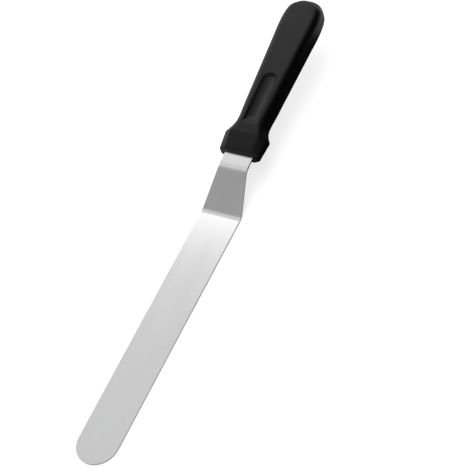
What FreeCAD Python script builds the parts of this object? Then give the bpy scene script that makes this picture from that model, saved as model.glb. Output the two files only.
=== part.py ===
import FreeCAD, Part
import math
import os

from FreeCAD import Vector

# Offset spatula, in millimetres.
# X runs along the object to the blade's tip, Y across it, and Z up.
# The blade's flat lies on Z = 0, and the origin is under the middle of the whole length.

# Blade, one folded sheet
blade_thickness = 1.3
blade_width = 33.6
flat_length = 213.6
edge_break = 0.2
crank_run = 30.0
crank_rise = 15.9
crank_width = 23.9
lower_bend_radius = 12.0
upper_bend_radius = 18.0
exposed_tang = 11.5

# Tang, the end of the sheet inside the handle
tang_length = 58.0
tang_width = 14.0
tang_shoulder_start = 5.0
tang_shoulder_length = 5.0
lock_hole_diameter = 6.0
lock_hole_count = 2
lock_hole_first = 22.0
lock_hole_pitch = 26.0

# Handle as a whole, measured from the collar's front face to the butt
handle_length = 133.6
handle_tilt = 5.2
tang_above_axis = 0.4

# Collar
collar_length = 15.5
collar_front_lean = 12.0
collar_front_height = 10.8
collar_back_height = 15.4
collar_front_top_width = 22.6
collar_back_top_width = 24.0
collar_front_width = 33.4
collar_back_width = 36.2
collar_front_side_height = 5.6
collar_back_side_height = 6.0
collar_edge_radius = 1.2
collar_rim_radius = 0.8

# Grip, with the flare that joins it to the collar
flare_length = 11.0
flare_power = 1.6
neck_width = 24.4
neck_height = 15.8
butt_width = 31.3
butt_height = 17.4
grip_edge_radius = 5.5
butt_round_length = 24.0
butt_round_power = 2.8
butt_nose_radius = 8.5

# Thumb groove, the same on the upper and the lower face
groove_start = 24.0
groove_length = 42.0
groove_width = 11.4
groove_depth = 2.0
groove_floor_radius = 11.0
groove_ramp_length = 8.0

# First-shot core inside the grip
skin_thickness = 3.2
core_setback = 2.0
core_corner_radius = 2.5
core_end_wall = 14.0

# Sections that the curved stretches are drawn through
flare_stations = 5
grip_stations = 8
butt_stations = 13
butt_last_turn = math.radians(84)
largest_edge_share = 0.65
corner_fit = 0.96

# Room round a cut, and the distance that counts as none
cut_margin = 5.0
same_place = 0.01

# The folded middle line of the sheet, and the directions of the handle
crank_angle = math.atan2(crank_rise, crank_run)
tilt_angle = math.radians(handle_tilt)
half_sheet = blade_thickness / 2
lower_fold = Vector(0, 0, half_sheet)
upper_fold = lower_fold + Vector(-crank_run, 0, crank_rise)
along = Vector(-math.cos(tilt_angle), 0, math.sin(tilt_angle))
upward = Vector(math.sin(tilt_angle), 0, math.cos(tilt_angle))
across = Vector(0, 1, 0)
collar_mouth = upper_fold + along * exposed_tang
axis_start = collar_mouth - upward * tang_above_axis
neck = collar_length + flare_length
front_slope = math.tan(math.radians(collar_front_lean))
butt_round_start = handle_length - butt_round_length

# Where an octagon round a circle of radius 1 has its corners, short of the corners of a square
octagon_inset = 1 - math.tan(math.pi / 8)


def at(distance, side, height):
    """A point of the handle: behind the collar's front face, to the side, and above the axis."""
    return axis_start + along * distance + across * side + upward * height


def fold_corner(fold, angle_before, angle_after, offset):
    """Where the faces on both sides of a fold would meet, at a distance from the middle line."""
    mean = (angle_before + angle_after) / 2
    half_turn = (angle_after - angle_before) / 2
    direction = Vector(math.sin(mean), 0, math.cos(mean))
    return fold + direction * (offset / math.cos(half_turn))


def rounded_corner(before, corner, after, radius):
    """The arc that rounds a corner, as its start, middle and end."""
    to_before = (before - corner).normalize()
    to_after = (after - corner).normalize()
    half_angle = to_before.getAngle(to_after) / 2
    reach = radius / math.tan(half_angle)
    inward = (to_before + to_after).normalize()
    middle = corner + inward * (radius / math.sin(half_angle) - radius)
    return corner + to_before * reach, middle, corner + to_after * reach


def sheet_face_line(offset):
    """One face of the sheet seen from the side, from past the tip to the tang's end."""
    tip = Vector(flat_length + blade_width, 0, half_sheet + offset)
    lower_corner = fold_corner(lower_fold, 0, crank_angle, offset)
    upper_corner = fold_corner(upper_fold, crank_angle, tilt_angle, offset)
    end = at(tang_length, 0, offset + tang_above_axis)
    lower = rounded_corner(tip, lower_corner, upper_corner, lower_bend_radius - offset)
    upper = rounded_corner(lower_corner, upper_corner, end, upper_bend_radius + offset)
    edges = [
        Part.LineSegment(tip, lower[0]).toShape(),
        Part.Arc(*lower).toShape(),
        Part.LineSegment(lower[2], upper[0]).toShape(),
        Part.Arc(*upper).toShape(),
        Part.LineSegment(upper[2], end).toShape(),
    ]
    return edges, tip, end


def folded_sheet():
    """The sheet before it is cut to its outline, as wide as the blade."""
    top_edges, top_tip, top_end = sheet_face_line(half_sheet)
    under_edges, under_tip, under_end = sheet_face_line(-half_sheet)
    closing = [
        Part.LineSegment(top_end, under_end).toShape(),
        Part.LineSegment(under_tip, top_tip).toShape(),
    ]
    profile = Part.Wire(Part.sortEdges(top_edges + under_edges + closing)[0])
    side_face = Part.Face(profile)
    side_face.translate(across * (-blade_width))
    return side_face.extrude(across * (2 * blade_width))


def outline_side(side):
    """The sheet's outline on one side (1 or -1), from the tip's arc to the tang's end."""
    shoulder_end = tang_shoulder_start + tang_shoulder_length
    return [
        Vector(flat_length - blade_width / 2, side * blade_width / 2, 0),
        Vector(0, side * blade_width / 2, 0),
        Vector(-crank_run, side * crank_width / 2, 0),
        Vector(at(tang_shoulder_start, 0, 0).x, side * crank_width / 2, 0),
        Vector(at(shoulder_end, 0, 0).x, side * tang_width / 2, 0),
        Vector(at(tang_length + cut_margin, 0, 0).x, side * tang_width / 2, 0),
    ]


def blade_outline():
    """The block that the folded sheet is cut to: the blade's outline, taller than the fold."""
    right = outline_side(1)
    left = outline_side(-1)
    edges = [Part.Arc(left[0], Vector(flat_length, 0, 0), right[0]).toShape()]
    for side in (left, right):
        for start, end in zip(side, side[1:]):
            edges.append(Part.LineSegment(start, end).toShape())
    edges.append(Part.LineSegment(left[-1], right[-1]).toShape())
    outline = Part.Face(Part.Wire(Part.sortEdges(edges)[0]))
    outline.translate(Vector(0, 0, -cut_margin))
    return outline.extrude(Vector(0, 0, at(tang_length, 0, 0).z + 2 * cut_margin))


def open_rim(blade):
    """The long edges round the sheet in front of the handle, on both of its faces."""
    rim = []
    shoulder_x = at(tang_shoulder_start, 0, 0).x - half_sheet
    for edge in blade.Edges:
        middle_parameter = (edge.FirstParameter + edge.LastParameter) / 2
        middle = edge.valueAt(middle_parameter)
        goes_through_sheet = edge.Length < 2 * blade_thickness and abs(middle.y) > same_place
        is_fold_line = abs(middle.y) < same_place and middle.x < flat_length - same_place
        reaches_shoulder = min(vertex.Point.x for vertex in edge.Vertexes) < shoulder_x
        if not goes_through_sheet and not is_fold_line and not reaches_shoulder:
            rim.append(edge)
    return rim


def make_blade():
    """The sheet, folded, cut to its outline, with the tang's lock holes and a broken rim."""
    blade = folded_sheet().common(blade_outline())
    for number in range(lock_hole_count):
        distance = lock_hole_first + number * lock_hole_pitch
        foot = at(distance, 0, tang_above_axis - cut_margin)
        blade = blade.cut(Part.makeCylinder(lock_hole_diameter / 2, 2 * cut_margin, foot, upward))
    return blade.makeFillet(edge_break, open_rim(blade))


def largest_radius(half_width, half_height, half_top, half_side):
    """The largest radius that rounds all the corners of a handle section."""
    slant_across = half_width - half_top
    slant_down = half_height - half_side
    slant_angle = math.atan2(slant_down, slant_across)
    top_reach = math.tan(slant_angle / 2)
    side_reach = math.tan((math.pi / 2 - slant_angle) / 2)
    slant_fit = math.hypot(slant_across, slant_down) / (top_reach + side_reach)
    return corner_fit * min(slant_fit, half_top / top_reach, half_side / side_reach)


def closed_section(distance, half_width, half_height, half_top, half_side, radius=None, slope=0.0):
    """A section of the handle: top, sides, underside and four slants, every corner rounded."""
    if radius is None:
        radius = largest_radius(half_width, half_height, half_top, half_side)
    quarter = [
        (half_top, half_height),
        (half_width, half_side),
        (half_width, -half_side),
        (half_top, -half_height),
    ]
    corners = quarter + [(-side, -height) for side, height in quarter]
    points = [at(distance + slope * height, side, height) for side, height in corners]
    arcs = []
    for before, corner, after in zip(points[-1:] + points, points, points[1:] + points[:1]):
        arcs.append(rounded_corner(before, corner, after, radius))
    edges = []
    for arc, next_arc in zip(arcs, arcs[1:] + arcs[:1]):
        edges.append(Part.Arc(*arc).toShape())
        edges.append(Part.LineSegment(arc[2], next_arc[0]).toShape())
    return Part.Wire(edges)


def mix(first, second, share):
    """A value between two others: the first at share 0 and the second at share 1."""
    return first + (second - first) * share


def grip_size(distance):
    """Half the width and height of the grip's straight taper."""
    share = (min(distance, butt_round_start) - neck) / (butt_round_start - neck)
    return mix(neck_width, butt_width, share) / 2, mix(neck_height, butt_height, share) / 2


def round_share(distance, length):
    """How much of its width an end that is round from above keeps, over a length."""
    share = min(1.0, max(0.0, (distance - butt_round_start) / length))
    return (1 - share ** butt_round_power) ** (1 / butt_round_power)


def grip_section(distance, flare_share=0.0):
    """A section of the grip, drawn out by a share of the way to the collar's back."""
    full_width, full_height = grip_size(distance)
    past_nose = max(0.0, distance - (handle_length - butt_nose_radius))
    nose_drop = butt_nose_radius - math.sqrt(butt_nose_radius ** 2 - past_nose ** 2)
    half_height = full_height - nose_drop
    half_width = full_width * round_share(distance, butt_round_length)
    flat_width = full_width - grip_edge_radius
    flat_width *= round_share(distance, butt_round_length - grip_edge_radius)
    edge_radius = min(grip_edge_radius, largest_edge_share * half_height)
    half_top = half_width - (half_width - flat_width) * octagon_inset
    half_side = half_height - edge_radius * octagon_inset
    radius = None
    if flare_share > 0:
        radius = mix(edge_radius * corner_fit, collar_edge_radius, flare_share)
    return closed_section(
        distance,
        mix(half_width, collar_back_width / 2, flare_share),
        mix(half_height, collar_back_height / 2, flare_share),
        mix(half_top, collar_back_top_width / 2, flare_share),
        mix(half_side, collar_back_side_height / 2, flare_share),
        radius,
    )


def make_outer_grip():
    """The grip from the back of the collar to the butt, without its grooves."""
    sections = []
    for number in range(flare_stations):
        share = 1 - number / flare_stations
        distance = neck - flare_length * share
        sections.append(grip_section(distance, share ** flare_power))
    for number in range(grip_stations):
        sections.append(grip_section(mix(neck, butt_round_start, number / grip_stations)))
    for number in range(butt_stations):
        turn = butt_last_turn * number / (butt_stations - 1)
        sections.append(grip_section(butt_round_start + butt_round_length * math.sin(turn)))
    return Part.makeLoft(sections, True, False)


def make_collar():
    """The collar, straight from its leaning front face to the flare, with a rounded front rim."""
    front = closed_section(
        0,
        collar_front_width / 2,
        collar_front_height / 2,
        collar_front_top_width / 2,
        collar_front_side_height / 2,
        collar_edge_radius,
        front_slope,
    )
    collar = Part.makeLoft([front, grip_section(collar_length, 1.0)], True, True)
    front_normal = along - upward * front_slope
    rim = [
        edge for edge in collar.Edges
        if all(
            abs((vertex.Point - axis_start).dot(front_normal)) < same_place
            for vertex in edge.Vertexes
        )
    ]
    return collar.makeFillet(collar_rim_radius, rim)


def groove_outline(face, height):
    """The groove seen square to its face: square by the collar and round by the butt."""
    groove_end = groove_start + groove_length
    half_width = groove_width / 2
    round_start = groove_end - half_width
    top = face * (height + cut_margin)
    corners = [
        at(round_start, half_width, top),
        at(groove_start, half_width, top),
        at(groove_start, -half_width, top),
        at(round_start, -half_width, top),
    ]
    edges = [Part.LineSegment(start, end).toShape() for start, end in zip(corners, corners[1:])]
    edges.append(Part.Arc(corners[-1], at(groove_end, 0, top), corners[0]).toShape())
    return Part.Face(Part.Wire(edges)).extrude(upward * (-face * (height + cut_margin)))


def groove_side_view(face, height):
    """The groove seen from the side: a curved ramp leads down to the level of its floor."""
    groove_end = groove_start + groove_length + cut_margin
    ramp_end = groove_start + groove_ramp_length
    ramp_radius = (groove_ramp_length ** 2 + groove_depth ** 2) / (2 * groove_depth)
    half_turn = math.asin(groove_ramp_length / ramp_radius) / 2
    floor = height - groove_depth
    middle_distance = ramp_end - ramp_radius * math.sin(half_turn)
    middle_height = floor + ramp_radius * (1 - math.cos(half_turn))
    ramp = Part.Arc(
        at(groove_start, -groove_width, face * height),
        at(middle_distance, -groove_width, face * middle_height),
        at(ramp_end, -groove_width, face * floor),
    )
    end_floor = floor - cut_margin
    profile = [
        at(ramp_end, -groove_width, face * floor),
        at(groove_end, -groove_width, face * end_floor),
        at(groove_end, -groove_width, face * (height + cut_margin)),
        at(groove_start, -groove_width, face * (height + cut_margin)),
        at(groove_start, -groove_width, face * height),
    ]
    edges = [Part.LineSegment(start, end).toShape() for start, end in zip(profile, profile[1:])]
    side_face = Part.Face(Part.Wire([ramp.toShape()] + edges))
    return side_face.extrude(across * (2 * groove_width))


def groove_cutter(face):
    """What the thumb groove takes out of the upper face (1) or the lower face (-1)."""
    start_height = grip_size(groove_start)[1]
    end_height = grip_size(groove_start + groove_length)[1]
    lift = groove_floor_radius - groove_depth
    trough_start = at(groove_start, 0, face * (start_height + lift))
    trough_end = at(groove_start + groove_length, 0, face * (end_height + lift))
    trough_way = trough_end - trough_start
    trough = Part.makeCylinder(groove_floor_radius, trough_way.Length, trough_start, trough_way)
    outline = groove_outline(face, start_height)
    return outline.common(groove_side_view(face, start_height)).common(trough)


def make_core():
    """The first-shot core: a tapered bar inside the grip, before the tang is taken out of it."""
    start = tang_shoulder_start + tang_shoulder_length + core_setback
    end = handle_length - core_end_wall
    inset = core_corner_radius * octagon_inset
    sections = []
    for distance in (start, end):
        half_width, half_height = grip_size(min(distance, butt_round_start))
        half_width -= skin_thickness
        half_height -= skin_thickness
        sections.append(closed_section(
            distance,
            half_width,
            half_height,
            half_width - inset,
            half_height - inset,
        ))
    return Part.makeLoft(sections, True, True)


def make_grip(core_block, blade):
    """The outer moulding, with its grooves and with the space that the core and the tang fill."""
    grip = make_outer_grip().fuse(make_collar()).removeSplitter()
    for face in (1, -1):
        grip = grip.cut(groove_cutter(face))
    return grip.cut(core_block).cut(blade)


def main():
    blade = make_blade()
    core_block = make_core()
    pieces = {
        "blade": blade,
        "handle_core": core_block.cut(blade),
        "handle_grip": make_grip(core_block, blade),
    }

    # The origin goes under the middle of the whole length.
    whole = Part.makeCompound(list(pieces.values())).optimalBoundingBox()
    to_origin = Vector(-(whole.XMin + whole.XMax) / 2, 0, 0)
    os.makedirs("parts", exist_ok=True)
    for name, shape in pieces.items():
        shape.translate(to_origin)
        shape.exportStep("parts/" + name + ".step")
        print(name, shape.isValid(), len(shape.Solids), round(shape.Volume, 1), len(shape.Faces))
    print("box", whole, "origin moved by", to_origin)


main()
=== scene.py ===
import math

import bpy
from mathutils import Matrix, Vector


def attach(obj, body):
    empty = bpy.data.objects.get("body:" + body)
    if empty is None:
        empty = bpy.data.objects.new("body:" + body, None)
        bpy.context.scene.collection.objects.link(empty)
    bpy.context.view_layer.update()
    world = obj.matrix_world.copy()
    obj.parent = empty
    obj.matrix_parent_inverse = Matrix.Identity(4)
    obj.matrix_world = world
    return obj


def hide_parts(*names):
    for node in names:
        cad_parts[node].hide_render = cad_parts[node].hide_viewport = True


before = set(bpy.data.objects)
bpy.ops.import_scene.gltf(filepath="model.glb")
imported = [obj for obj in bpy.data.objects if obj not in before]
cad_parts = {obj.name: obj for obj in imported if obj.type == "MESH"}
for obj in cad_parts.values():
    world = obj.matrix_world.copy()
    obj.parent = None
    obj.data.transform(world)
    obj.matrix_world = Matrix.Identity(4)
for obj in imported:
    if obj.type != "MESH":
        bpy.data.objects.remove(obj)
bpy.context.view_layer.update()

# Offset spatula in studio light. Lengths are in metres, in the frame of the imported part.

# Camera
camera_place = Vector((0.68695, 0.91440, 1.38197))
camera_right = Vector((-0.43400, 0.83950, -0.32690))
camera_up = Vector((-0.81320, -0.20890, 0.54320))
camera_back = Vector((0.38770, 0.50160, 0.77330))
camera_lens = 190.0
camera_sensor = 36.0
camera_reach = 200.0

# Distance at which two corners of a CAD solid's triangles are one
same_corner = 0.00001

# Grip. It is smoothed in rounds, and each round moves a point by a share of the way to its neighbours.
grip_voxel = 0.00048
grip_smoothing_rounds = 9
grip_smoothing_share = 0.5
grip_crisp_angle = math.radians(35)

# Blade. Above 50, up to 100, the large faces lead its shading more and more.
blade_crisp_angle = math.radians(20)
large_face_lead = 100

# Brushed steel
scratches_per_metre = 2500.0
scratch_stretch = (0.02, 1.0, 1.0)
patches_per_metre = 60.0
patch_stretch = (0.35, 1.0, 1.0)
scratch_strength = 0.15
scratch_depth = 0.00002
steel_dark = (0.545, 0.546, 0.550, 1.0)
steel_light = (0.610, 0.610, 0.612, 1.0)
steel_roughness = (0.19, 0.25)

# Moulded plastic
grains_per_metre = 2200.0
handling_marks_per_metre = 45.0
grain_strength = 0.2
grain_depth = 0.00004
grip_dark = (0.0008, 0.0008, 0.0008, 1.0)
grip_light = (0.002, 0.002, 0.002, 1.0)
grip_roughness = (0.36, 0.44)
grip_specular = 0.19
core_dark = (0.008, 0.008, 0.008, 1.0)
core_light = (0.014, 0.014, 0.014, 1.0)
core_roughness = (0.50, 0.60)
core_specular = 0.25

# The part of a noise texture's values that is spread over a range
noise_low = 0.3
noise_high = 0.7

# Floor and world. The cards are as matt as the floor.
white = (1.0, 1.0, 1.0, 1.0)
floor_size = 60.0
floor_paint = (0.9, 0.9, 0.9, 1.0)
floor_glow_seen = 0.6
floor_glow_mirrored = 0.2
world_as_light = 0.5
world_as_seen = 1.0
matt_roughness = 0.9

# Cards that only the object's reflections see. They paint shade and a grey reflection onto the object, and
# neither light nor shade the set.
painted_reflection_card_paint = (0.01, 0.01, 0.01, 1.0)
floor_card_height = 0.001


def deselect_all():
    """Leaves nothing selected, so that the next operator acts on its own piece alone."""
    bpy.ops.object.select_all(action="DESELECT")


def select_only(piece):
    """Makes one piece the only one selected, and the active one."""
    deselect_all()
    piece.select_set(True)
    bpy.context.view_layer.objects.active = piece


def set_values(node, values):
    """Sets a node's sockets by name."""
    for name, value in values.items():
        node.inputs[name].default_value = value


def new_material(name):
    """An empty material and its node tree."""
    material = bpy.data.materials.new(name)
    material.use_nodes = True
    material.node_tree.nodes.clear()
    return material, material.node_tree


def add(tree, kind, values=None, **settings):
    """A node of one kind, with its settings and its socket values."""
    node = tree.nodes.new(kind)
    for name, value in settings.items():
        setattr(node, name, value)
    set_values(node, values or {})
    return node


def new_group(name, inputs, outputs):
    """A shader node group with named inputs and outputs."""
    group = bpy.data.node_groups.new(name, "ShaderNodeTree")
    for socket_name, kind, value in inputs:
        socket = group.interface.new_socket(name=socket_name, in_out="INPUT", socket_type=kind)
        if value is not None:
            socket.default_value = value
    for socket_name, kind in outputs:
        group.interface.new_socket(name=socket_name, in_out="OUTPUT", socket_type=kind)
    return group, add(group, "NodeGroupInput"), add(group, "NodeGroupOutput")


def brushed_grain_group():
    """Fine scratches along X, with cloudy patches where the belt pressed harder."""
    group, given, result = new_group(
        "brushed grain",
        [
            ("Position", "NodeSocketVector", None),
            ("Lines per metre", "NodeSocketFloat", scratches_per_metre),
        ],
        [("Scratches", "NodeSocketFloat"), ("Patches", "NodeSocketFloat")],
    )
    links = group.links
    squeeze = add(group, "ShaderNodeMapping", {"Scale": scratch_stretch})
    links.new(given.outputs["Position"], squeeze.inputs["Vector"])
    scratches = add(group, "ShaderNodeTexNoise", {"Detail": 3.0, "Roughness": 0.65})
    links.new(squeeze.outputs["Vector"], scratches.inputs["Vector"])
    links.new(given.outputs["Lines per metre"], scratches.inputs["Scale"])
    links.new(scratches.outputs["Fac"], result.inputs["Scratches"])
    stretch = add(group, "ShaderNodeMapping", {"Scale": patch_stretch})
    links.new(given.outputs["Position"], stretch.inputs["Vector"])
    patches = add(
        group, "ShaderNodeTexNoise", {"Scale": patches_per_metre, "Detail": 2.0, "Roughness": 0.5})
    links.new(stretch.outputs["Vector"], patches.inputs["Vector"])
    links.new(patches.outputs["Fac"], result.inputs["Patches"])
    return group


def moulded_grain_group():
    """The fine matt grain of a mould, and faint marks of handling."""
    group, given, result = new_group(
        "moulded grain",
        [
            ("Position", "NodeSocketVector", None),
            ("Grains per metre", "NodeSocketFloat", grains_per_metre),
        ],
        [("Grain", "NodeSocketFloat"), ("Handling", "NodeSocketFloat")],
    )
    links = group.links
    grain = add(group, "ShaderNodeTexNoise", {"Detail": 2.0, "Roughness": 0.6})
    links.new(given.outputs["Position"], grain.inputs["Vector"])
    links.new(given.outputs["Grains per metre"], grain.inputs["Scale"])
    links.new(grain.outputs["Fac"], result.inputs["Grain"])
    handling = add(
        group, "ShaderNodeTexNoise", {"Scale": handling_marks_per_metre, "Detail": 4.0, "Roughness": 0.6})
    links.new(given.outputs["Position"], handling.inputs["Vector"])
    links.new(handling.outputs["Fac"], result.inputs["Handling"])
    return group


def grained(tree, grain_group):
    """A grain group that is fixed to the piece it covers."""
    place = add(tree, "ShaderNodeTexCoord")
    grain = add(tree, "ShaderNodeGroup", node_tree=grain_group)
    tree.links.new(place.outputs["Object"], grain.inputs["Position"])
    return grain


def ranged(tree, noise, limits):
    """A noise value spread between two limits."""
    low, high = limits
    node = add(tree, "ShaderNodeMapRange", {
        "From Min": noise_low, "From Max": noise_high, "To Min": low, "To Max": high})
    tree.links.new(noise, node.inputs["Value"])
    return node.outputs["Result"]


def mixed(tree, share, dark, light):
    """A colour between a dark and a light one. The sockets of a colour mix go by their numbers."""
    share_input, dark_input, light_input, colour_output = 0, 6, 7, 2
    tone = add(tree, "ShaderNodeMix", data_type="RGBA")
    tone.inputs[dark_input].default_value = dark
    tone.inputs[light_input].default_value = light
    tree.links.new(share, tone.inputs[share_input])
    return tone.outputs[colour_output]


def embossed(tree, height, strength, depth):
    """A normal that follows a fine relief."""
    bump = add(tree, "ShaderNodeBump", {"Strength": strength, "Distance": depth})
    tree.links.new(height, bump.inputs["Height"])
    return bump.outputs["Normal"]


def finish_material(tree, surface, colour, roughness, normal):
    """Joins a surface to its colour, roughness and normal, and to the material's output."""
    tree.links.new(colour, surface.inputs["Base Color"])
    tree.links.new(roughness, surface.inputs["Roughness"])
    tree.links.new(normal, surface.inputs["Normal"])
    out = add(tree, "ShaderNodeOutputMaterial")
    tree.links.new(surface.outputs["BSDF"], out.inputs["Surface"])


def steel_material(grain_group):
    """Satin stainless steel, scratched along the blade and duller in cloudy patches."""
    material, tree = new_material("satin_steel")
    grain = grained(tree, grain_group)
    finish_material(
        tree,
        add(tree, "ShaderNodeBsdfPrincipled", {"Metallic": 1.0}),
        mixed(tree, grain.outputs["Scratches"], steel_dark, steel_light),
        ranged(tree, grain.outputs["Patches"], steel_roughness),
        embossed(tree, grain.outputs["Scratches"], scratch_strength, scratch_depth),
    )
    return material


def plastic_material(name, grain_group, dark, light, roughness, specular):
    """Black plastic with the grain of its mould, a little uneven from handling."""
    material, tree = new_material(name)
    grain = grained(tree, grain_group)
    finish_material(
        tree,
        add(tree, "ShaderNodeBsdfPrincipled", {"Specular IOR Level": specular}),
        mixed(tree, grain.outputs["Handling"], dark, light),
        ranged(tree, grain.outputs["Handling"], roughness),
        embossed(tree, grain.outputs["Grain"], grain_strength, grain_depth),
    )
    return material


def dress(name, material):
    """Gives a CAD node its material."""
    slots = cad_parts[name].data.materials
    slots.clear()
    slots.append(material)


def merged_copy(node, name):
    """A copy of a CAD solid with its triangles joined."""
    select_only(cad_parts[node])
    bpy.ops.object.duplicate()
    piece = bpy.context.object
    piece.name = name
    bpy.ops.object.mode_set(mode="EDIT")
    bpy.ops.mesh.select_all(action="SELECT")
    bpy.ops.mesh.remove_doubles(threshold=same_corner)
    bpy.ops.object.mode_set(mode="OBJECT")
    return piece


def take_place(piece, node, material):
    """The piece stands where a CAD node stood, with its material."""
    piece.data.materials.clear()
    piece.data.materials.append(material)
    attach(piece, "root")
    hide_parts(node)


def cut_away(piece, cutter):
    """Takes the space of one piece out of another, and the cutter goes."""
    cut = piece.modifiers.new("cut", "BOOLEAN")
    cut.operation = "DIFFERENCE"
    cut.solver = "EXACT"
    cut.object = cutter
    select_only(piece)
    bpy.ops.object.modifier_apply(modifier="cut")
    select_only(cutter)
    bpy.ops.object.delete()
    select_only(piece)


def soften_grip(material):
    """The grip, with the soft rims of a moulding, hollow for the core and the tang."""
    core_space = merged_copy("handle_core", "core_space")
    bpy.ops.object.mode_set(mode="EDIT")
    bpy.ops.mesh.select_all(action="SELECT")
    bpy.ops.mesh.convex_hull()
    bpy.ops.object.mode_set(mode="OBJECT")
    blade_space = merged_copy("blade", "blade_space")
    grip = merged_copy("handle_grip", "soft_grip")
    remesh = grip.modifiers.new("even grid", "REMESH")
    remesh.mode = "VOXEL"
    remesh.voxel_size = grip_voxel
    bpy.ops.object.modifier_apply(modifier="even grid")
    smooth = grip.modifiers.new("soft rims", "SMOOTH")
    smooth.factor = grip_smoothing_share
    smooth.iterations = grip_smoothing_rounds
    bpy.ops.object.modifier_apply(modifier="soft rims")
    cut_away(grip, core_space)
    cut_away(grip, blade_space)
    bpy.ops.object.shade_smooth_by_angle(angle=grip_crisp_angle)
    take_place(grip, "handle_grip", material)


def smooth_blade(material):
    """The blade, with the light running smoothly round its bends and along its flat faces."""
    blade = merged_copy("blade", "smooth_blade")
    bpy.ops.object.shade_smooth_by_angle(angle=blade_crisp_angle)
    weight = blade.modifiers.new("flat faces lead", "WEIGHTED_NORMAL")
    weight.mode = "FACE_AREA"
    weight.weight = large_face_lead
    weight.keep_sharp = True
    bpy.ops.object.modifier_apply(modifier="flat faces lead")
    take_place(blade, "blade", material)


def larger(tree, first, second):
    """The larger of two values."""
    node = add(tree, "ShaderNodeMath", operation="MAXIMUM")
    tree.links.new(first, node.inputs[0])
    tree.links.new(second, node.inputs[1])
    return node.outputs[0]


def add_floor():
    """A plain white floor. Its own glow lifts it to white where nothing shades it."""
    deselect_all()
    bpy.ops.mesh.primitive_plane_add(size=floor_size, location=(0, 0, 0))
    floor = bpy.context.object
    floor.name = "floor"
    material, tree = new_material("white_floor")
    links = tree.links
    path = add(tree, "ShaderNodeLightPath")
    mirrored = larger(tree, path.outputs["Is Transmission Ray"], path.outputs["Is Glossy Ray"])
    mirrored_glow = add(tree, "ShaderNodeMath", operation="MULTIPLY")
    mirrored_glow.inputs[1].default_value = floor_glow_mirrored
    links.new(mirrored, mirrored_glow.inputs[0])
    glow = add(tree, "ShaderNodeMath", operation="MULTIPLY_ADD")
    glow.inputs[1].default_value = floor_glow_seen
    links.new(path.outputs["Is Camera Ray"], glow.inputs[0])
    links.new(mirrored_glow.outputs[0], glow.inputs[2])
    paint = add(tree, "ShaderNodeBsdfPrincipled", {
        "Base Color": floor_paint, "Roughness": matt_roughness, "Specular IOR Level": 0.0,
        "Emission Color": white})
    links.new(glow.outputs[0], paint.inputs["Emission Strength"])
    out = add(tree, "ShaderNodeOutputMaterial")
    links.new(paint.outputs["BSDF"], out.inputs["Surface"])
    floor.data.materials.append(material)


def add_world():
    """White where it is seen or mirrored, and softer as light."""
    world = bpy.data.worlds.new("studio")
    bpy.context.scene.world = world
    world.use_nodes = True
    tree = world.node_tree
    tree.nodes.clear()
    links = tree.links
    path = add(tree, "ShaderNodeLightPath")
    seen = larger(tree, path.outputs["Is Camera Ray"], path.outputs["Is Glossy Ray"])
    seen_at_all = larger(tree, seen, path.outputs["Is Transmission Ray"])
    level = add(tree, "ShaderNodeMapRange", {"To Min": world_as_light, "To Max": world_as_seen})
    links.new(seen_at_all, level.inputs["Value"])
    sky = add(tree, "ShaderNodeBackground", {"Color": white})
    links.new(level.outputs["Result"], sky.inputs["Strength"])
    out = add(tree, "ShaderNodeOutputWorld")
    links.new(sky.outputs["Background"], out.inputs["Surface"])


def add_softbox(name, centre, towards, width, depth, power):
    """A rectangular soft lamp that faces a point."""
    deselect_all()
    bpy.ops.object.light_add(type="AREA", location=centre)
    lamp = bpy.context.object
    lamp.name = name
    lamp.data.shape = "RECTANGLE"
    lamp.data.size = width
    lamp.data.size_y = depth
    lamp.data.energy = power
    way = Vector(towards) - Vector(centre)
    lamp.rotation_euler = way.to_track_quat("-Z", "Y").to_euler()


def add_card(name, corners, tone):
    """A flat card that is only mirrored, glowing at one tone, so that it paints a reflection onto the
    object: painted shade where the tone is dark. It neither lights nor shades the set.
    """
    mesh = bpy.data.meshes.new(name)
    mesh.from_pydata([Vector(corner) for corner in corners], [], [(0, 1, 2, 3)])
    card = bpy.data.objects.new(name, mesh)
    bpy.context.scene.collection.objects.link(card)
    material, tree = new_material(name)
    paint = add(tree, "ShaderNodeBsdfPrincipled", {
        "Base Color": painted_reflection_card_paint, "Roughness": matt_roughness, "Specular IOR Level": 0.0,
        "Emission Color": white, "Emission Strength": tone})
    out = add(tree, "ShaderNodeOutputMaterial")
    tree.links.new(paint.outputs["BSDF"], out.inputs["Surface"])
    mesh.materials.append(material)
    card.visible_camera = False
    card.visible_diffuse = False
    card.visible_shadow = False


def add_level_card(name, back, front, right, left, height, tone):
    """A rectangular card that lies level, with its edges along X and Y."""
    outline = [(back, right), (front, right), (front, left), (back, left)]
    add_card(name, [(x, y, height) for x, y in outline], tone)


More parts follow.
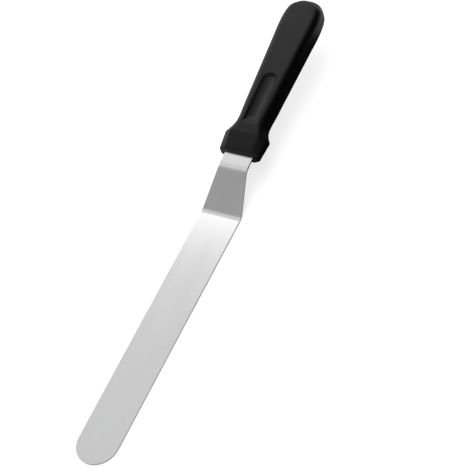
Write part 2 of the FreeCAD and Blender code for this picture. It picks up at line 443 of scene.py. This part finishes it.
def add_upright_card(name, back, front, side, bottom, top, tone):
    """A rectangular card that stands beside the object, with its face across Y."""
    outline = [(back, top), (front, top), (front, bottom), (back, bottom)]
    add_card(name, [(x, side, z) for x, z in outline], tone)


def add_camera():
    """The camera of the photograph's view, turned by its own right, up and back directions."""
    deselect_all()
    bpy.ops.object.camera_add(location=camera_place)
    camera = bpy.context.object
    camera.name = "camera"
    camera.data.sensor_width = camera_sensor
    camera.data.lens = camera_lens
    camera.data.clip_end = camera_reach
    turn = Matrix((camera_right, camera_up, camera_back)).transposed()
    camera.rotation_mode = "QUATERNION"
    camera.rotation_quaternion = turn.to_quaternion()
    bpy.context.scene.camera = camera


# The object. The grip comes first, because it is cut with a copy of the blade's solid, which
# is hidden once the smooth blade has taken its place.
brushed_grain = brushed_grain_group()
moulded_grain = moulded_grain_group()
soften_grip(plastic_material(
    "black_grip", moulded_grain, grip_dark, grip_light, grip_roughness, grip_specular))
smooth_blade(steel_material(brushed_grain))
dress("handle_core", plastic_material(
    "black_core", moulded_grain, core_dark, core_light, core_roughness, core_specular))

# The set: the floor, the world, two soft lamps, the mirrored cards that paint shade and a grey reflection
# onto the object, and the camera
add_floor()
add_world()
add_softbox(
    "key", centre=(-0.483, -0.30, 0.45), towards=(-0.483, -0.30, 0.0), width=0.494, depth=0.70, power=1.38)
add_softbox(
    "low_key", centre=(-0.60, -1.20, 0.60), towards=(-0.10, 0.0, 0.03), width=0.50, depth=0.40, power=1.57)
# Painted shade: a black card beside the handle, seen only in reflections, darkens the handle's right side.
add_upright_card("side_painted_shade_card", back=-0.36, front=-0.062, side=0.10, bottom=0.002, top=0.42, tone=0.0)
# Painted reflection: a grey glowing card overhead, seen only in reflections, gives the crank its grey
# tone.
add_level_card("top_painted_reflection_card", back=0.05, front=0.9, right=-1.1, left=-0.1, height=0.8, tone=0.52)
# Painted shade: a black card over the handle, seen only in reflections, darkens the object where it
# mirrors this card.
corner_painted_shade_card_height = 0.44
corner_painted_shade_card_outline = [(-0.31, 0.07), (-0.16, 0.07), (-0.16, -0.14), (-0.20, -0.14)]
add_card("corner_painted_shade_card", [(x, y, corner_painted_shade_card_height) for x, y in corner_painted_shade_card_outline], tone=0.0)
# Painted shadow: a nearly black card on the floor right of the handle, seen only in reflections, darkens
# the handle's right side.
add_level_card(
    "floor_painted_shade_card", back=-0.185, front=-0.03, right=0.0, left=0.5, height=floor_card_height, tone=0.03)
# Painted shade: a dark card on the floor right of the blade, seen only in reflections, darkens the blade's
# right edge.
add_level_card(
    "edge_painted_shade_card", back=-0.03, front=0.21, right=0.0, left=0.5, height=floor_card_height, tone=0.08)
add_camera()

scene = bpy.context.scene
scene.view_settings.view_transform = "Standard"
